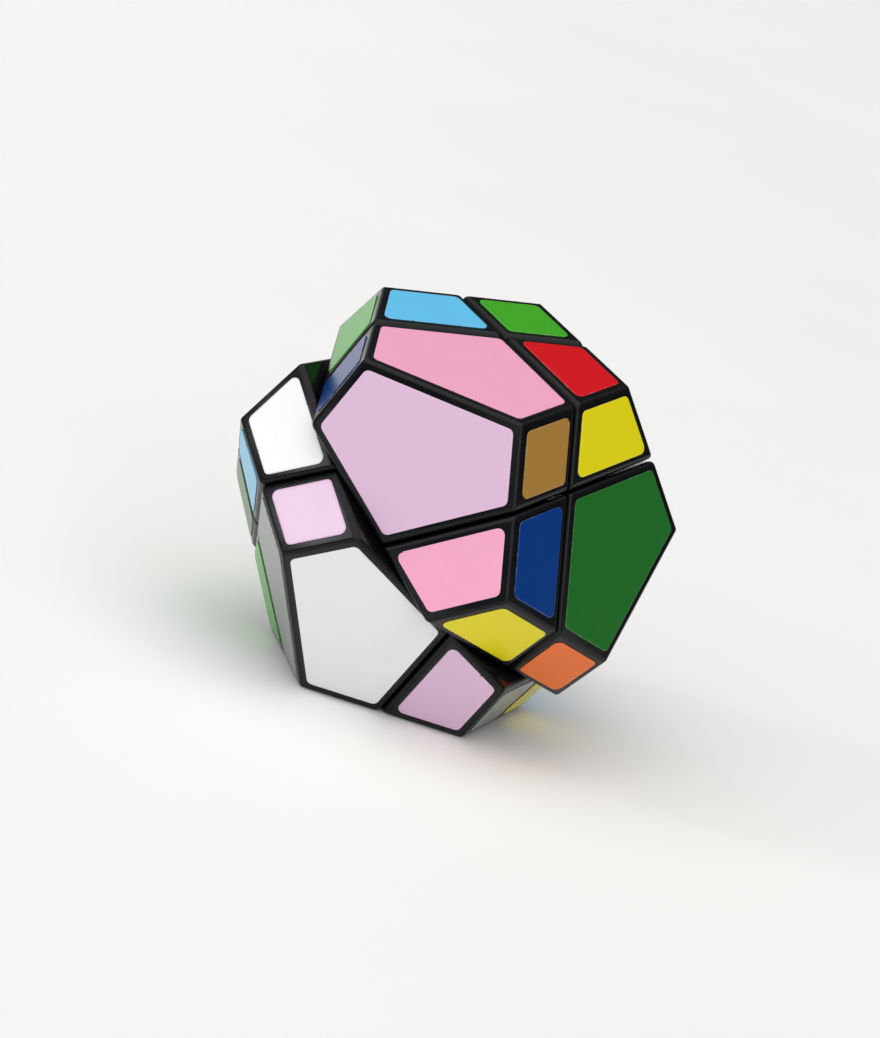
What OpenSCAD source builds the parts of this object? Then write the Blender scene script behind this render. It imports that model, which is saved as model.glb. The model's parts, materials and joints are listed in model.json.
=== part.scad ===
// A twelve-sided twisty puzzle, 75 mm across flats, shown part way through a turn.
// Four cuts pass through its centre, each square to an axis through two opposite vertices.
// They part the dodecahedron into eight corner pieces and six edge pieces. Four of the corner
// pieces are screwed to a core through springs. Their feet hold the edge pieces, whose feet in
// turn hold the other four corner pieces. One half stands on a face, and the other half turns
// on the screw that is shared by both. Origin: centre of the face it rests on. +Z is up.

/* [Body] */
// distance between opposite faces of the plastic body, mm
across_flats = 75; // [60:0.5:90]
// how far the turning half stands from square with the standing half, degrees
turn_angle = 26.5; // [0:0.1:119.9]
// gap between neighbouring pieces, mm
piece_gap = 0.4; // [0.2:0.05:1]
// thickness of a piece's shell, mm
wall = 1.6; // [1.2:0.1:3]

/* [Stickers] */
// thickness of a vinyl sticker, mm
sticker_t = 0.2; // [0.1:0.05:0.5]
// bare plastic beside a dodecahedron edge, mm
edge_margin = 1.6; // [0.5:0.1:4]
// bare plastic beside a cut, mm
cut_margin = 1.9; // [0.5:0.1:4]
// radius of a sticker's corners, mm
sticker_corner_r = 1.3; // [0.4:0.1:3]

/* [Mechanism] */
// radius inside which the feet turn, mm
foot_r = 21; // [18:0.5:24]
// radius of the space for the core, mm
core_r = 15; // [12:0.5:17]
// how far a foot reaches under its neighbour, degrees
tuck = 8; // [5:0.5:10]
// clearance between parts that slide over each other, mm
slide_gap = 0.3; // [0.1:0.05:0.5]
// clearance between a shell and the foot pressed into it, mm
press_gap = 0.05; // [0.02:0.01:0.2]
// thickness of the plug by which a foot fills its shell's mouth, mm
plug_t = 2.4; // [1.5:0.1:4]
// radius of the core's hub, mm
hub_r = 9; // [7:0.5:11]
// radius of each of the core's arms, mm
arm_r = 5; // [4:0.1:7]

/* [Screws and springs] */
// radius of a screw's shank, mm
screw_r = 1.5; // [1:0.1:2]
// radius of a screw's head, mm
head_r = 2.9; // [2.2:0.1:3.5]
// height of a screw's head, mm
head_h = 2; // [1:0.1:3]
// distance from the centre to the spring's seat, mm
seat_r = 25; // [24:0.5:28]
// length of a spring in place, mm
spring_h = 7; // [6:0.5:10]
// diameter of the spring's wire, mm
wire_d = 0.6; // [0.4:0.05:0.8]
// number of turns of a spring
spring_turns = 8; // [4:1:9]
// thickness of a washer, mm
washer_t = 0.5; // [0.3:0.1:1]

/* [Hidden] */
phi = (1 + sqrt(5)) / 2;
face_tilt = atan(1 / phi);
face_reach = sqrt(1 + phi * phi);
unit = across_flats / 2 * face_reach / (phi * phi);
rest_h = across_flats / 2 + sticker_t;
quarter_view = -126;
big = 4 * across_flats;
cone_r = 1.2 * foot_r;
screw_clear = 0.1;
tap_gap = 0.02;
contact_gap = 0.03;
tip_r = 6;
well_r = 3.3;
tube_r = 4.7;
washer_base = seat_r + spring_h;
head_base = washer_base + washer_t + contact_gap;
tube_top = head_base + head_h + 0.5;
spring_r = well_r - wire_d / 2 - 0.3;
corner_steps = 5;
wire_sides = 6;
coil_steps = 14;
$fn = 96;

// corners with a screw; the first is the one that the turning half turns about
AXES = [[-1, 1, 1], [1, -1, 1], [1, 1, -1], [-1, -1, -1]];
X = [1, 0, 0];
Y = [0, 1, 0];
Z = [0, 0, 1];
FACE_AXES = [[1, 0, phi], [-1, 0, phi], [phi, 1, 0], [phi, -1, 0], [0, phi, 1], [0, phi, -1]];

// a sticker's outline on its face, before its margins: [corners, which sides lie along a cut]
A = [-phi / face_reach, 1 / phi];
B = [A.x, -A.y];
C = [(phi - 1) / face_reach, -1];
D = [2 / face_reach, 0];
E = [C.x, 1];
CROSS = [C.x, 0];
PENTAGON = [[A, B, (B + C) / 2, CROSS, (A + E) / 2], [0, 0, 1, 1, 0]];
RHOMBUS = [[(C + D) / 2, D, (D + E) / 2, CROSS], [0, 0, 1, 1]];
TRAPEZOID = [[(B + C) / 2, C, (C + D) / 2, CROSS], [0, 0, 1, 1]];
TRAPEZOID_2 = [[CROSS, (D + E) / 2, E, (A + E) / 2], [1, 0, 0, 1]];

// one row a face: the axis of the edge piece with its pentagon, the axis of the edge piece with
// its rhombus, then the colours of its pentagon, its two trapezoids and its rhombus
FACES = [
    [Z, X, "mauve", "pink", "white", "mauve"],
    [Z, -X, "pink", "sky", "red", "green"],
    [-Z, X, "navy", "pink", "orange", "red"],
    [-Z, -X, "sky", "forest", "red", "white"],
    [X, Y, "white", "yellow", "mauve", "orange"],
    [X, -Y, "grey", "green", "sky", "forest"],
    [-X, Y, "orange", "white", "tan", "sky"],
    [-X, -Y, "yellow", "orange", "mauve", "grey"],
    [Y, Z, "forest", "navy", "yellow", "tan"],
    [Y, -Z, "tan", "navy", "grey", "yellow"],
    [-Y, Z, "red", "green", "forest", "navy"],
    [-Y, -Z, "green", "grey", "tan", "pink"]
];

// colours of the vinyl
INKS = [
    ["white", [0.90, 0.90, 0.88]],
    ["yellow", [0.80, 0.74, 0.05]],
    ["red", [0.78, 0.07, 0.09]],
    ["navy", [0.00, 0.20, 0.48]],
    ["forest", [0.05, 0.35, 0.12]],
    ["mauve", [0.80, 0.64, 0.78]],
    ["pink", [0.93, 0.62, 0.76]],
    ["orange", [0.85, 0.35, 0.12]],
    ["green", [0.24, 0.62, 0.15]],
    ["sky", [0.38, 0.74, 0.92]],
    ["tan", [0.60, 0.44, 0.22]],
    ["grey", [0.50, 0.51, 0.50]]
];
PLASTIC = [0.03, 0.03, 0.035];
INNER_PLASTIC = [0.08, 0.08, 0.09];
STEEL = [0.62, 0.62, 0.64];

// which side of each cut a piece lies on
function sides(piece) = [for (a = AXES) sign(a * piece)];

// turns a direction so that it is as long as 1
function unit_of(v) = v / norm(v);

// moves a line inwards: [a point on it, its direction]
function inner_line(p, q, margin) =
    let (d = unit_of(q - p))
        [p + margin * [-d.y, d.x], d];

function meet(l, m) =
    let (s = cross(m[0] - l[0], m[1]) / cross(l[1], m[1]))
        l[0] + s * l[1];

// corners of a sticker, in mm, inside its margins
function inset_outline(shape) =
    let (
        p = shape[0] * unit,
        n = len(p),
        margins = [edge_margin, cut_margin],
        lines = [for (i = [0:n - 1]) inner_line(p[i], p[(i + 1) % n], margins[shape[1][i]])]
    )
        [for (i = [0:n - 1]) meet(lines[(i + n - 1) % n], lines[i])];

// an arc in place of the corner b, between the corners a and c
function corner_arc(a, b, c, r) =
    let (
        into = unit_of(a - b),
        out = unit_of(c - b),
        half = acos(into * out) / 2,
        centre = b + unit_of(into + out) * r / sin(half),
        from = b + into * r / tan(half) - centre,
        sweep = 180 - 2 * half
    )
        [
            for (i = [0:corner_steps])
                let (g = sweep * i / corner_steps)
                    centre + [from.x * cos(g) - from.y * sin(g), from.x * sin(g) + from.y * cos(g)]
        ];

function rounded(p, r) =
    let (n = len(p))
        [for (i = [0:n - 1]) each corner_arc(p[(i + n - 1) % n], p[i], p[(i + 1) % n], r)];

// points and faces of a round wire wound into a helix up +Z
function coil_points(r, h, turns, wire_r) = [
    for (i = [0:turns * coil_steps])
        for (j = [0:wire_sides - 1])
            let (
                a = 360 * i / coil_steps,
                b = 360 * j / wire_sides,
                lift = wire_r + (h - 2 * wire_r) * i / (turns * coil_steps),
                out = r + wire_r * cos(b)
            )
                [out * cos(a), out * sin(a), lift + wire_r * sin(b)]
];
function coil_faces(rings) = concat(
    [[for (j = [0:wire_sides - 1]) j]],
    [
        for (i = [0:rings - 2])
            for (j = [0:wire_sides - 1])
                let (
                    a = i * wire_sides + j,
                    b = i * wire_sides + (j + 1) % wire_sides
                )
                    each [[a, a + wire_sides, b], [b, a + wire_sides, b + wire_sides]]
    ],
    [[for (j = [wire_sides - 1:-1:0]) (rings - 1) * wire_sides + j]]
);

// stands the puzzle on one face of its standing half
module standing() {
    translate([0, 0, rest_h])
        rotate([0, 0, quarter_view])
            rotate([0, face_tilt, 0])
                children();
}

// the same for the half that turns
module turning() {
    standing()
        rotate(a = turn_angle, v = AXES[0])
            children();
}

// turns +Z towards a direction
module facing(v) {
    rotate([0, acos(v.z / norm(v)), atan2(v.y, v.x)])
        children();
}

module slab(axis, half_t) {
    facing(axis)
        cube([big, big, 2 * half_t], center = true);
}

module dodecahedron(inradius) {
    intersection_for (a = FACE_AXES)
        slab(a, inradius);
}

// the side of every cut on which a piece lies, margin away from the cuts
module between_cuts(piece, margin) {
    s = sides(piece);
    intersection_for (i = [0:3])
        facing(AXES[i] * s[i])
            translate([0, 0, margin + big / 2])
                cube(big, center = true);
}

// a sphere about the centre, with its seam on the side away from a piece
module ball(piece, r) {
    facing(piece)
        rotate([0, 90, 0])
            sphere(r);
}

module hollow(piece, gap) {
    intersection() {
        dodecahedron(across_flats / 2 - wall - gap);
        between_cuts(piece, piece_gap / 2 + wall + gap);
    }
}

module shell(piece) {
    color(PLASTIC)
        difference() {
            intersection() {
                dodecahedron(across_flats / 2);
                between_cuts(piece, piece_gap / 2);
            }
            hollow(piece, 0);
            ball(piece, foot_r + slide_gap / 2);
        }
}

// everything past the cone that lies tuck degrees beyond a cut: side is 1 for the screw's side
// of the cone and -1 for the far side
module past_cone(axis, side, lift) {
    slope = tan(tuck);
    facing(axis)
        translate([0, 0, lift])
            rotate_extrude()
                polygon([
                    [0, -hub_r / 2 * slope],
                    [hub_r / 2, -hub_r / 2 * slope],
                    [cone_r, -cone_r * slope],
                    [cone_r, side * cone_r],
                    [0, side * cone_r]
                ]);
}

// the part of a spherical layer that belongs to a piece's foot
module foot_layer(piece, inner_r, outer_r) {
    s = sides(piece);
    difference() {
        ball(piece, outer_r);
        ball(piece, inner_r);
        for (i = [0:3])
            past_cone(AXES[i], -s[i], s[i] * slide_gap / 2);
    }
}

module plain_foot(piece) {
    foot_layer(piece, core_r + slide_gap / 2, foot_r - slide_gap / 2);
    intersection() {
        foot_layer(piece, foot_r - slide_gap, foot_r + slide_gap);
        hollow(piece, press_gap);
    }
    difference() {
        intersection() {
            hollow(piece, press_gap);
            ball(piece, foot_r + plug_t);
        }
        ball(piece, foot_r + slide_gap / 2);
    }
}

module foot(piece) {
    color(INNER_PLASTIC)
        plain_foot(piece);
}

// a foot with the tube for its screw and spring
module screwed_foot(piece) {
    color(INNER_PLASTIC)
        difference() {
            union() {
                plain_foot(piece);
                facing(piece)
                    translate([0, 0, foot_r + plug_t / 2])
                        cylinder(h = tube_top - foot_r - plug_t / 2, r = tube_r);
            }
            facing(piece)
                translate([0, 0, core_r / 2])
                    cylinder(h = tube_top, r = screw_r + screw_clear);
            facing(piece)
                translate([0, 0, seat_r])
                    cylinder(h = tube_top, r = well_r);
        }
}

module core_body() {
    color(INNER_PLASTIC)
        difference() {
            union() {
                sphere(hub_r);
                intersection() {
                    sphere(core_r - slide_gap / 2);
                    for (a = AXES)
                        facing(a)
                            cylinder(h = core_r, r = arm_r);
                }
            }
            for (a = AXES)
                facing(a)
                    translate([0, 0, tip_r - contact_gap])
                        cylinder(h = core_r, r = screw_r + tap_gap);
        }
}

module screw() {
    color(STEEL)
        difference() {
            union() {
                translate([0, 0, tip_r])
                    cylinder(h = head_base - tip_r, r = screw_r);
                translate([0, 0, head_base])
                    cylinder(h = head_h, r = head_r);
            }
            for (g = [0, 90])
                translate([0, 0, head_base + head_h])
                    rotate([0, 0, g])
                        cube([3.4, 0.7, 2.4], center = true);
        }
}

module washer() {
    color(STEEL)
        translate([0, 0, washer_base])
            difference() {
                cylinder(h = washer_t, r = head_r);
                translate([0, 0, -1])
                    cylinder(h = washer_t + 2, r = screw_r + screw_clear);
            }
}

module spring() {
    color(STEEL)
        translate([0, 0, seat_r + contact_gap])
            polyhedron(
                points = coil_points(spring_r, spring_h - 2 * contact_gap, spring_turns, wire_d / 2),
                faces = coil_faces(spring_turns * coil_steps + 1)
            );
}

// places a sticker on the face between an edge piece's axis and the next one's
module on_face(major, minor) {
    v = (phi * minor - major) / face_reach;
    t = cross(major, minor);
    n = (minor + phi * major) / face_reach;
    multmatrix([[v.x, t.x, n.x, 0], [v.y, t.y, n.y, 0], [v.z, t.z, n.z, 0], [0, 0, 0, 1]])
        translate([0, 0, across_flats / 2])
            children();
}

module sticker(shape) {
    linear_extrude(sticker_t)
        polygon(rounded(inset_outline(shape), sticker_corner_r));
}

// every sticker of one colour on one half: side is 1 for the turning half, -1 for the other
module vinyl(ink, side) {
    tint = [for (k = INKS) if (k[0] == ink) k[1]][0];
    for (f = FACES) {
        t = cross(f[0], f[1]);
        corner = f[0] + f[1];
        shapes = [[PENTAGON, f[0]], [TRAPEZOID_2, corner + t], [TRAPEZOID, corner - t], [RHOMBUS, f[1]]];
        for (i = [0:3])
            if (f[i + 2] == ink && sign(AXES[0] * shapes[i][1]) == side)
                color(tint)
                    on_face(f[0], f[1])
                        sticker(shapes[i][0]);
    }
}

module standing_pole_shell() { standing() shell(-AXES[0]); }
module standing_left_shell() { standing() shell(AXES[1]); }
module standing_right_shell() { standing() shell(AXES[2]); }
module standing_back_shell() { standing() shell(AXES[3]); }
module standing_front_edge_shell() { standing() shell(X); }
module standing_rear_edge_shell() { standing() shell(-Y); }
module standing_base_edge_shell() { standing() shell(-Z); }
module standing_pole_foot() { standing() foot(-AXES[0]); }
module standing_left_foot() { standing() screwed_foot(AXES[1]); }
module standing_right_foot() { standing() screwed_foot(AXES[2]); }
module standing_back_foot() { standing() screwed_foot(AXES[3]); }
module standing_front_edge_foot() { standing() foot(X); }
module standing_rear_edge_foot() { standing() foot(-Y); }
module standing_base_edge_foot() { standing() foot(-Z); }
module turning_axis_shell() { turning() shell(AXES[0]); }
module turning_right_shell() { turning() shell(-AXES[1]); }
module turning_left_shell() { turning() shell(-AXES[2]); }
module turning_front_shell() { turning() shell(-AXES[3]); }
module turning_rear_edge_shell() { turning() shell(-X); }
module turning_right_edge_shell() { turning() shell(Y); }
module turning_front_edge_shell() { turning() shell(Z); }
module turning_axis_foot() { turning() screwed_foot(AXES[0]); }
module turning_right_foot() { turning() foot(-AXES[1]); }
module turning_left_foot() { turning() foot(-AXES[2]); }
module turning_front_foot() { turning() foot(-AXES[3]); }
module turning_rear_edge_foot() { turning() foot(-X); }
module turning_right_edge_foot() { turning() foot(Y); }
module turning_front_edge_foot() { turning() foot(Z); }
module core() { standing() core_body(); }
module screws() { standing() for (a = AXES) facing(a) screw(); }
module washers() { standing() for (a = AXES) facing(a) washer(); }
module standing_springs() { standing() for (i = [1:3]) facing(AXES[i]) spring(); }
module turning_spring() { turning() facing(AXES[0]) spring(); }

module standing_white() { standing() vinyl("white", -1); }
module standing_yellow() { standing() vinyl("yellow", -1); }
module standing_red() { standing() vinyl("red", -1); }
module standing_navy() { standing() vinyl("navy", -1); }
module standing_forest() { standing() vinyl("forest", -1); }
module standing_mauve() { standing() vinyl("mauve", -1); }
module standing_pink() { standing() vinyl("pink", -1); }
module standing_orange() { standing() vinyl("orange", -1); }
module standing_green() { standing() vinyl("green", -1); }
module standing_sky() { standing() vinyl("sky", -1); }
module standing_tan() { standing() vinyl("tan", -1); }
module standing_grey() { standing() vinyl("grey", -1); }
module turning_white() { turning() vinyl("white", 1); }
module turning_yellow() { turning() vinyl("yellow", 1); }
module turning_red() { turning() vinyl("red", 1); }
module turning_navy() { turning() vinyl("navy", 1); }
module turning_forest() { turning() vinyl("forest", 1); }
module turning_mauve() { turning() vinyl("mauve", 1); }
module turning_pink() { turning() vinyl("pink", 1); }
module turning_orange() { turning() vinyl("orange", 1); }
module turning_green() { turning() vinyl("green", 1); }
module turning_sky() { turning() vinyl("sky", 1); }
module turning_tan() { turning() vinyl("tan", 1); }

standing_pole_shell();
standing_left_shell();
standing_right_shell();
standing_back_shell();
standing_front_edge_shell();
standing_rear_edge_shell();
standing_base_edge_shell();
standing_pole_foot();
standing_left_foot();
standing_right_foot();
standing_back_foot();
standing_front_edge_foot();
standing_rear_edge_foot();
standing_base_edge_foot();
turning_axis_shell();
turning_right_shell();
turning_left_shell();
turning_front_shell();
turning_rear_edge_shell();
turning_right_edge_shell();
turning_front_edge_shell();
turning_axis_foot();
turning_right_foot();
turning_left_foot();
turning_front_foot();
turning_rear_edge_foot();
turning_right_edge_foot();
turning_front_edge_foot();
core();
screws();
washers();
standing_springs();
turning_spring();
standing_white();
standing_yellow();
standing_red();
standing_navy();
standing_forest();
standing_mauve();
standing_pink();
standing_orange();
standing_green();
standing_sky();
standing_tan();
standing_grey();
turning_white();
turning_yellow();
turning_red();
turning_navy();
turning_forest();
turning_mauve();
turning_pink();
turning_orange();
turning_green();
turning_sky();
turning_tan();
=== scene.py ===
import json
import math

import bmesh
import bpy
from mathutils import Matrix, Vector

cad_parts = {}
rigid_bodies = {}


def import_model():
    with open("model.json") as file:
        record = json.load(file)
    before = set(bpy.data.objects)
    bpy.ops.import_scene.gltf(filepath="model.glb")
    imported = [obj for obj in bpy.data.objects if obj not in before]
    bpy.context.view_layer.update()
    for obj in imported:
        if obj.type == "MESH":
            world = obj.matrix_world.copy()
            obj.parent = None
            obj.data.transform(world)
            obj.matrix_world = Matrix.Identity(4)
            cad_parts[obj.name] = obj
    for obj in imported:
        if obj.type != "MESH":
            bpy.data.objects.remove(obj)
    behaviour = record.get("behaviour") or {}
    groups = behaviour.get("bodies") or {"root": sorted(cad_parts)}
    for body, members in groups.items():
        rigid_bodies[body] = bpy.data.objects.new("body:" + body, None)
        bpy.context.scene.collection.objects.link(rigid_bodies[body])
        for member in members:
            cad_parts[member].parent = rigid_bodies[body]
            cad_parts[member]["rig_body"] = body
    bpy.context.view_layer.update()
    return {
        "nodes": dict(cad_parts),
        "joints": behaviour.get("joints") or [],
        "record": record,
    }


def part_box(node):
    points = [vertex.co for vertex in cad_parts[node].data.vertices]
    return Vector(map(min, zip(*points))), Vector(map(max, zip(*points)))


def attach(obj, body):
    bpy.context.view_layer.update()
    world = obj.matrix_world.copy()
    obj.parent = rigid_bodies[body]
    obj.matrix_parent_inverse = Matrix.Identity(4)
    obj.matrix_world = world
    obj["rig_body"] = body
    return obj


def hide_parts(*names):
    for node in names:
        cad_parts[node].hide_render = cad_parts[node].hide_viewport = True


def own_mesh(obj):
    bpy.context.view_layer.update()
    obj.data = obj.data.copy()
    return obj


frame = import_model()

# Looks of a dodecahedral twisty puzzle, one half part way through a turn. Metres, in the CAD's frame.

MM = 0.001
NODES = frame["nodes"]
SLOT_OF = {row["node"]: row["material_slot"] for row in frame["record"]["subparts"]}
HALF_TURN, HALF_LIFT = frame["joints"]
CENTRE = Vector(HALF_TURN["pos_m"])
SQUEEZED_NODE = "turning_spring"

# ---- sizes of the finish ----
CUT_EDGE_ROUND = 1.15 * MM  # how far the rounding along a cut reaches onto each face
BODY_EDGE_SHARE = 0.5  # the same along an edge of the dodecahedron, as a share of it
INNER_EDGE_SHARE = 0.45  # the same where two cut faces meet
ROUND_STEPS = 5
STICKER_ROUND = 0.06 * MM
STICKER_ROUND_STEPS = 2
RIM_W = 0.35 * MM  # worn rim of a sticker

# ---- how the CAD's meshes are read ----
SHARP_ANGLE = math.radians(40)  # an edge that turns less than this is part of a round surface
FLAT_ANGLE = math.radians(0.4)  # neighbouring triangles that turn less than this are one face
SAME_POINT = 0.002 * MM
CUT_REACH = 0.6 * MM  # cut faces lie within this of a plane through the centre
BODY_REACH = CENTRE.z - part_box("standing_base_edge_shell")[0].z  # centre to the outer faces

# ---- colours, linear ----
INK = {
    "white": (0.81, 0.815, 0.82),
    "yellow": (0.755, 0.655, 0.008),
    "red": (0.620, 0.004, 0.010),
    "navy": (0.0003, 0.037, 0.205),
    "forest": (0.013, 0.140, 0.018),
    "mauve": (0.700, 0.482, 0.660),
    "pink": (0.865, 0.380, 0.555),
    "orange": (0.80, 0.16, 0.020),
    "green": (0.051, 0.375, 0.017),
    "sky": (0.126, 0.530, 0.815),
    "tan": (0.378, 0.198, 0.042),
    "grey": (0.24, 0.25, 0.245),
}
BLACK_ABS = (0.0020, 0.0023, 0.0031)
EDGE_ABS = (0.0026, 0.0029, 0.0036)  # the same plastic along its rounded edges, a little duller
INNER_ABS = (0.012, 0.012, 0.014)
DARK_STEEL = (0.50, 0.50, 0.52)
LIGHT_STEEL = (0.66, 0.66, 0.67)
DIRT = (0.08, 0.06, 0.05)
CHIPPED = (0.05, 0.05, 0.05)
TABLE_DARK = (0.955, 0.955, 0.94)
TABLE_LIGHT = (0.97, 0.97, 0.955)


# ---- node helpers ----
class Shader:
    """A material's node tree, with short calls for the nodes used here."""

    def __init__(self, name):
        self.mat = bpy.data.materials.new(name)
        self.mat.use_nodes = True
        self.tree = self.mat.node_tree
        self.bsdf = self.tree.nodes["Principled BSDF"]
        self.place = self.add("ShaderNodeTexCoord").outputs["Object"]

    def add(self, kind, **settings):
        node = self.tree.nodes.new(kind)
        for key, value in settings.items():
            setattr(node, key, value)
        return node

    def put(self, value, socket):
        if isinstance(value, bpy.types.NodeSocket):
            self.tree.links.new(value, socket)
        else:
            socket.default_value = value

    def surface(self, value, name):
        """Sets one of the shader's own sockets, or links to it."""
        self.put(value, self.bsdf.inputs[name])

    def noise(self, size, detail=2.0, roughness=0.5, stretch=None):
        """Noise from 0 to 1, with features about size metres across."""
        place = self.place
        if stretch:
            warp = self.add("ShaderNodeMapping")
            self.put(place, warp.inputs["Vector"])
            warp.inputs["Scale"].default_value = stretch
            place = warp.outputs["Vector"]
        node = self.add("ShaderNodeTexNoise")
        self.put(place, node.inputs["Vector"])
        node.inputs["Scale"].default_value = 1 / size
        node.inputs["Detail"].default_value = detail
        node.inputs["Roughness"].default_value = roughness
        return node.outputs["Fac"]

    def span(self, value, low, high, new_low, new_high):
        """value from low to high becomes new_low to new_high, and no further."""
        node = self.add("ShaderNodeMapRange")
        self.put(value, node.inputs["Value"])
        node.inputs["From Min"].default_value = low
        node.inputs["From Max"].default_value = high
        node.inputs["To Min"].default_value = new_low
        node.inputs["To Max"].default_value = new_high
        return node.outputs["Result"]

    def spread(self, noise, new_low, new_high):
        """The middle of a noise's range becomes new_low to new_high."""
        return self.span(noise, 0.3, 0.7, new_low, new_high)

    def maths(self, kind, a, b):
        node = self.add("ShaderNodeMath", operation=kind)
        self.put(a, node.inputs[0])
        self.put(b, node.inputs[1])
        return node.outputs[0]

    def blend(self, share, a, b):
        """Colour a where share is 0, and colour b where it is 1."""
        node = self.add("ShaderNodeMix", data_type="RGBA")
        self.put(share, node.inputs["Factor"])
        self.put((*a, 1) if isinstance(a, tuple) else a, node.inputs["A"])
        self.put((*b, 1) if isinstance(b, tuple) else b, node.inputs["B"])
        return node.outputs["Result"]

    def bump(self, height, depth, strength):
        """height from 0 to 1 raises the surface by depth metres, softened by strength."""
        node = self.add("ShaderNodeBump")
        self.put(height, node.inputs["Height"])
        node.inputs["Distance"].default_value = depth
        node.inputs["Strength"].default_value = strength
        return node.outputs["Normal"]

    def specks(self, spacing, radius, share):
        """1 on round specks, in that share of the cells of a pattern whose cells are spacing apart."""
        cells = self.add("ShaderNodeTexVoronoi", feature="F1")
        self.put(self.place, cells.inputs["Vector"])
        cells.inputs["Scale"].default_value = 1 / spacing
        core = 0.6 * radius  # solid to here, fading to nothing at radius
        near = self.span(cells.outputs["Distance"], radius / spacing, core / spacing, 0.0, 1.0)
        split = self.add("ShaderNodeSeparateColor")
        self.put(cells.outputs["Color"], split.inputs["Color"])
        chosen = self.maths("LESS_THAN", split.outputs["Red"], share)
        return self.maths("MULTIPLY", near, chosen)


def scaled(colour, k):
    return tuple(min(1.0, c * k) for c in colour)


# ---- materials ----
def plastic(name, colour, rough, grain, shine):
    """Moulded satin ABS: a fine spark-eroded grain of that depth, worn patches and faint scuffs."""
    s = Shader(name)
    worn = s.noise(9 * MM, detail=3.0, roughness=0.6)
    fine = s.noise(0.22 * MM, detail=2.0, roughness=0.7)
    scuffs = s.noise(2.2 * MM, detail=4.0, roughness=0.65, stretch=(1.0, 0.25, 1.0))
    s.surface(s.blend(s.span(worn, 0.35, 0.75, 0.0, 1.0), colour, scaled(colour, 1.6)), "Base Color")
    patches = s.spread(worn, rough - 0.03, rough + 0.03)
    s.surface(s.maths("ADD", patches, s.span(scuffs, 0.5, 0.8, 0.0, 0.04)), "Roughness")
    s.surface(s.bump(fine, grain, strength=0.6), "Normal")
    s.surface(shine, "Specular IOR Level")
    return s.mat


def vinyl(ink):
    """Satin self-adhesive vinyl: a slightly uneven tint, the odd speck of dirt, and a worn rim."""
    s = Shader("vinyl_" + ink)
    colour = INK[ink]
    cloud = s.noise(6 * MM, detail=3.0, roughness=0.55)
    peel = s.noise(1.4 * MM, detail=1.0)

    # the print
    tint = s.blend(s.spread(cloud, 0.0, 1.0), scaled(colour, 0.994), scaled(colour, 1.006))
    tint = s.blend(s.span(peel, 0.35, 0.65, 0.0, 0.03), tint, scaled(colour, 0.82))
    dirt = s.specks(spacing=11 * MM, radius=0.22 * MM, share=0.18)
    tint = s.blend(s.maths("MULTIPLY", dirt, 0.55), tint, DIRT)

    # the rim, rubbed pale along its edge and chipped here and there
    rim = s.add("ShaderNodeAttribute", attribute_name="rim").outputs["Fac"]
    rubbing = s.span(s.noise(1.6 * MM, detail=3.0), 0.5, 0.7, 0.1, 0.6)
    rubbed = s.maths("MULTIPLY", s.span(rim, 0.55, 1.0, 0.0, 1.0), rubbing)
    tint = s.blend(rubbed, tint, tuple(0.5 * c + 0.28 for c in colour))
    chipping = s.span(s.noise(0.9 * MM, detail=2.0), 0.69, 0.72, 0.0, 0.8)
    chips = s.maths("MULTIPLY", s.span(rim, 0.3, 0.5, 0.0, 1.0), chipping)
    tint = s.blend(chips, tint, CHIPPED)

    s.surface(tint, "Base Color")
    s.surface(s.spread(cloud, 0.245, 0.265), "Roughness")
    s.surface(s.bump(peel, 0.002 * MM, strength=0.3), "Normal")
    s.surface(0.3, "Specular IOR Level")
    return s.mat


def steel(name, rough):
    """Zinc-plated steel, with drawn or turned streaks."""
    s = Shader(name)
    streak = s.noise(0.5 * MM, detail=3.0, roughness=0.6, stretch=(1.0, 1.0, 0.12))
    s.surface(s.blend(streak, DARK_STEEL, LIGHT_STEEL), "Base Color")
    s.surface(s.spread(streak, rough - 0.06, rough + 0.08), "Roughness")
    s.surface(s.bump(streak, 0.01 * MM, strength=0.5), "Normal")
    s.surface(1.0, "Metallic")
    return s.mat


def table_top():
    """Matt pale paint, a little uneven."""
    s = Shader("pale_floor")
    cloud = s.noise(0.35)
    s.surface(s.blend(cloud, TABLE_DARK, TABLE_LIGHT), "Base Color")
    s.surface(s.spread(cloud, 0.6, 0.7), "Roughness")
    return s.mat


MATERIALS = {ink + "_vinyl": vinyl(ink) for ink in INK}
MATERIALS["black_plastic"] = plastic("black_plastic", BLACK_ABS, rough=0.20, grain=0.001 * MM, shine=0.34)
MATERIALS["inner_plastic"] = plastic("inner_plastic", INNER_ABS, rough=0.45, grain=0.012 * MM, shine=0.5)
MATERIALS["screw_steel"] = steel("screw_steel", rough=0.30)
MATERIALS["spring_steel"] = steel("spring_steel", rough=0.22)
EDGE_PLASTIC = plastic("edge_plastic", EDGE_ABS, rough=0.31, grain=0.001 * MM, shine=0.22)


# ---- the CAD's shells and stickers, with soft edges ----
def outward(face):
    """How far along its own normal a face lies from the centre."""
    return face.normal.dot(face.calc_center_median() - CENTRE)


def face_kind(face):
    """body for a face of the dodecahedron, cut for a cut face, inner for the rest."""
    if outward(face) > BODY_REACH - CUT_REACH:
        return "body"
    if abs(outward(face)) < CUT_REACH:
        return "cut"
    return "inner"


ROUND_SHARE = {
    ("body", "body"): BODY_EDGE_SHARE,
    ("body", "cut"): 1.0,
    ("cut", "cut"): INNER_EDGE_SHARE,
}


def clean_copy(node):
    """The node's shape with each flat face in one piece."""
    bm = bmesh.new()
    bm.from_mesh(NODES[node].data)
    bmesh.ops.remove_doubles(bm, verts=bm.verts, dist=SAME_POINT)
    bmesh.ops.dissolve_limit(bm, angle_limit=FLAT_ANGLE, verts=bm.verts, edges=bm.edges)
    bm.normal_update()
    for face in bm.faces:
        face.smooth = True
    return bm


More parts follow.
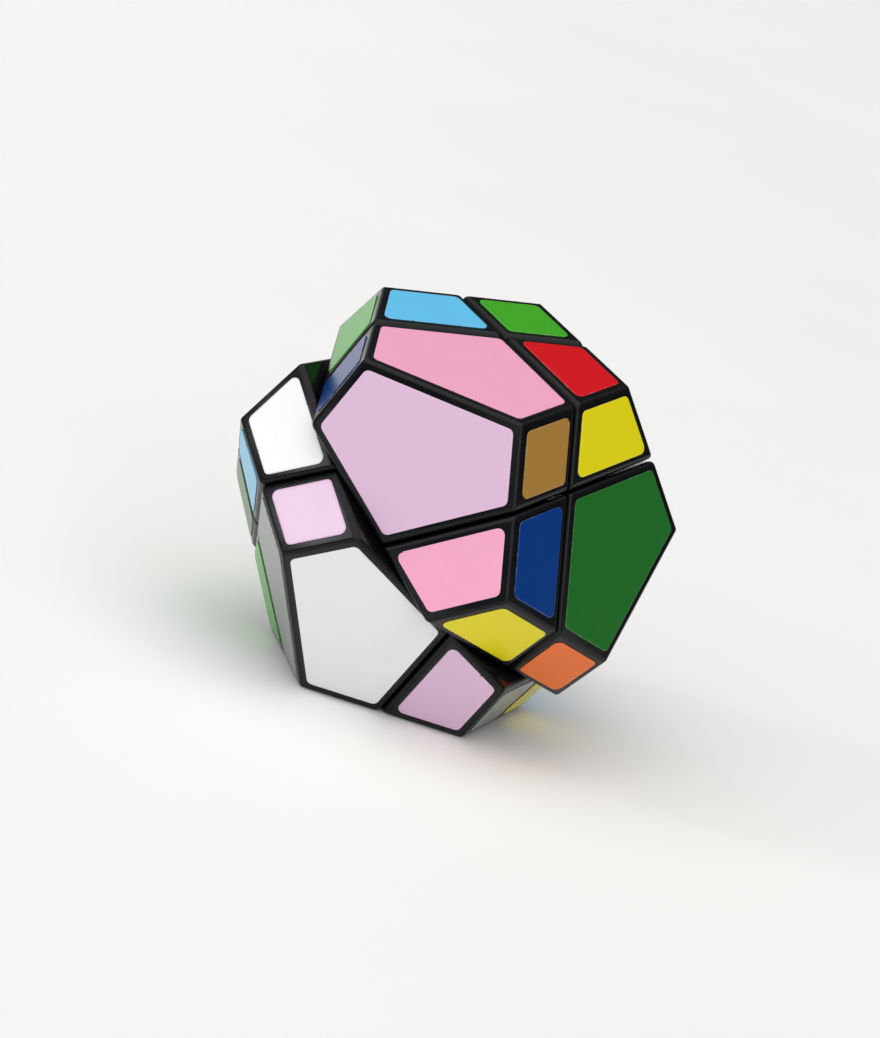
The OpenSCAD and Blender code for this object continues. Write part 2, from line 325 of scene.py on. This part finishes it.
def finished(bm, node, suffix, materials):
    """Makes the piece that stands for a node out of its mesh."""
    mesh = bpy.data.meshes.new(node + suffix)
    bm.to_mesh(mesh)
    bm.free()
    for material in materials:
        mesh.materials.append(material)
    piece = bpy.data.objects.new(node + suffix, mesh)
    bpy.context.scene.collection.objects.link(piece)
    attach(piece, NODES[node]["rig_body"])
    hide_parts(node)
    return piece


def soften(piece, width, steps, limit, edge_material=-1):
    """Rounds a piece's edges: those with a weight, or every one that is sharp enough."""
    edges = piece.modifiers.new("round_edges", "BEVEL")
    edges.width = width
    edges.segments = steps
    edges.limit_method = limit
    edges.angle_limit = SHARP_ANGLE
    edges.harden_normals = True
    edges.material = edge_material


def moulded_shell(node):
    """A shell whose edges are rounded wherever the outside turns a corner."""
    bm = clean_copy(node)
    weight = bm.edges.layers.float.new("bevel_weight_edge")
    for edge in bm.edges:
        kinds = tuple(sorted(face_kind(f) for f in edge.link_faces))
        edge[weight] = ROUND_SHARE.get(kinds, 0.0) if edge.is_convex else 0.0
        edge.smooth = edge[weight] > 0 or edge.calc_face_angle(0.0) < SHARP_ANGLE
    materials = [MATERIALS["black_plastic"], EDGE_PLASTIC]
    piece = finished(bm, node, "_moulded", materials)
    soften(piece, CUT_EDGE_ROUND, ROUND_STEPS, "WEIGHT", edge_material=materials.index(EDGE_PLASTIC))


def cut_stickers(node, material):
    """Stickers with a worn rim round their tops, and softened edges."""
    bm = clean_copy(node)
    tops = [f for f in bm.faces if outward(f) > BODY_REACH]
    bmesh.ops.inset_individual(bm, faces=tops, thickness=RIM_W, use_even_offset=True)
    rim = bm.verts.layers.float.new("rim")
    inside = {v for f in tops for v in f.verts}
    for vert in bm.verts:
        vert[rim] = 0.0 if vert in inside else 1.0
    for face in bm.faces:
        face.smooth = True
    piece = finished(bm, node, "_vinyl", [material])
    soften(piece, STICKER_ROUND, STICKER_ROUND_STEPS, "ANGLE")


def squeezed_spring(node):
    """The turning half's spring, as a piece of its own with its own copy of the node's mesh."""
    bm = bmesh.new()
    bm.from_mesh(NODES[node].data)
    piece = finished(bm, node, "_wire", [MATERIALS[SLOT_OF[node]]])
    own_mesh(piece)


for name, obj in NODES.items():
    slot = SLOT_OF[name]
    if slot == "black_plastic":
        moulded_shell(name)
    elif slot.endswith("_vinyl"):
        cut_stickers(name, MATERIALS[slot])
    elif name != SQUEEZED_NODE:
        obj.data.materials.clear()
        obj.data.materials.append(MATERIALS[slot])
squeezed_spring(SQUEEZED_NODE)

# ---- floor ----
FLOOR_R = 30.0
FLOOR_SIDES = 64


def floor():
    """A plain pale table top that runs past the view on every side."""
    mesh = bpy.data.meshes.new("floor")
    bm = bmesh.new()
    bmesh.ops.create_circle(bm, cap_ends=True, radius=FLOOR_R, segments=FLOOR_SIDES)
    bm.to_mesh(mesh)
    bm.free()
    mesh.materials.append(table_top())
    top = bpy.data.objects.new("floor", mesh)
    bpy.context.scene.collection.objects.link(top)


floor()

# ---- light ----
ROOM = (0.07, 0.07, 0.07)  # what the puzzle reflects above the table
BACKDROP = (0.86, 0.86, 0.8471)  # what the camera sees above the table


def studio():
    """A dim room, seen by the camera as a pale tone close to the table's."""
    world = bpy.data.worlds.new("studio")
    world.use_nodes = True
    tree = world.node_tree
    room = tree.nodes["Background"]
    backdrop = tree.nodes.new("ShaderNodeBackground")
    pick = tree.nodes.new("ShaderNodeMixShader")
    path = tree.nodes.new("ShaderNodeLightPath")
    room.inputs["Color"].default_value = (*ROOM, 1)
    backdrop.inputs["Color"].default_value = (*BACKDROP, 1)
    tree.links.new(path.outputs["Is Camera Ray"], pick.inputs["Fac"])
    tree.links.new(room.outputs["Background"], pick.inputs[1])
    tree.links.new(backdrop.outputs["Background"], pick.inputs[2])
    tree.links.new(pick.outputs["Shader"], tree.nodes["World Output"].inputs["Surface"])
    bpy.context.scene.world = world
    bpy.context.scene.view_settings.view_transform = "Standard"


def toward(azimuth, elevation):
    """The direction from the puzzle: azimuth 0 is the front, -Y, and 90 is +X. Degrees."""
    a = math.radians(azimuth)
    e = math.radians(elevation)
    return Vector((math.sin(a) * math.cos(e), -math.cos(a) * math.cos(e), math.sin(e)))


def soft_light(name, azimuth, elevation, strength, width):
    """A far soft light, width degrees across, that lights a white surface facing it with strength."""
    lamp = bpy.data.lights.new(name, "SUN")
    lamp.energy = strength * math.pi
    lamp.angle = math.radians(width)
    obj = bpy.data.objects.new(name, lamp)
    bpy.context.scene.collection.objects.link(obj)
    obj.rotation_mode = "QUATERNION"
    obj.rotation_quaternion = toward(azimuth, elevation).to_track_quat("Z", "Y")


studio()
soft_light("overhead_light", azimuth=-20, elevation=70, strength=0.86, width=100)
soft_light("left_window", azimuth=-78, elevation=27, strength=0.08, width=4)
soft_light("front_fill", azimuth=22, elevation=8, strength=0.26, width=50)
soft_light("backdrop_glow", azimuth=202, elevation=4, strength=0.18, width=40)

# ---- camera, at the photograph's viewing angle ----
VIEW_AZIMUTH = 0.2
VIEW_ELEVATION = 13.7
VIEW_ROLL = math.radians(17.54)
VIEW_DISTANCE = 603.8 * MM
VIEW_AIM = CENTRE + Vector((-0.45, -0.45, -1.82)) * MM
SENSOR = 36.0
LENS = 103.16
NEAREST = 0.05
FARTHEST = 100.0


def view_camera():
    """A camera at VIEW_DISTANCE from VIEW_AIM, tilted about its line of sight by VIEW_ROLL."""
    back = toward(VIEW_AZIMUTH, VIEW_ELEVATION)
    level_right = Vector((0, 0, 1)).cross(back).normalized()
    level_up = back.cross(level_right)
    up = level_up * math.cos(VIEW_ROLL) - level_right * math.sin(VIEW_ROLL)
    right = up.cross(back)
    lens = bpy.data.cameras.new("camera")
    lens.sensor_width = SENSOR
    lens.lens = LENS
    lens.clip_start = NEAREST
    lens.clip_end = FARTHEST
    camera = bpy.data.objects.new("camera", lens)
    bpy.context.scene.collection.objects.link(camera)
    turn = Matrix((right, up, back)).transposed().to_4x4()
    camera.matrix_world = Matrix.Translation(VIEW_AIM + back * VIEW_DISTANCE) @ turn
    bpy.context.scene.camera = camera


view_camera()
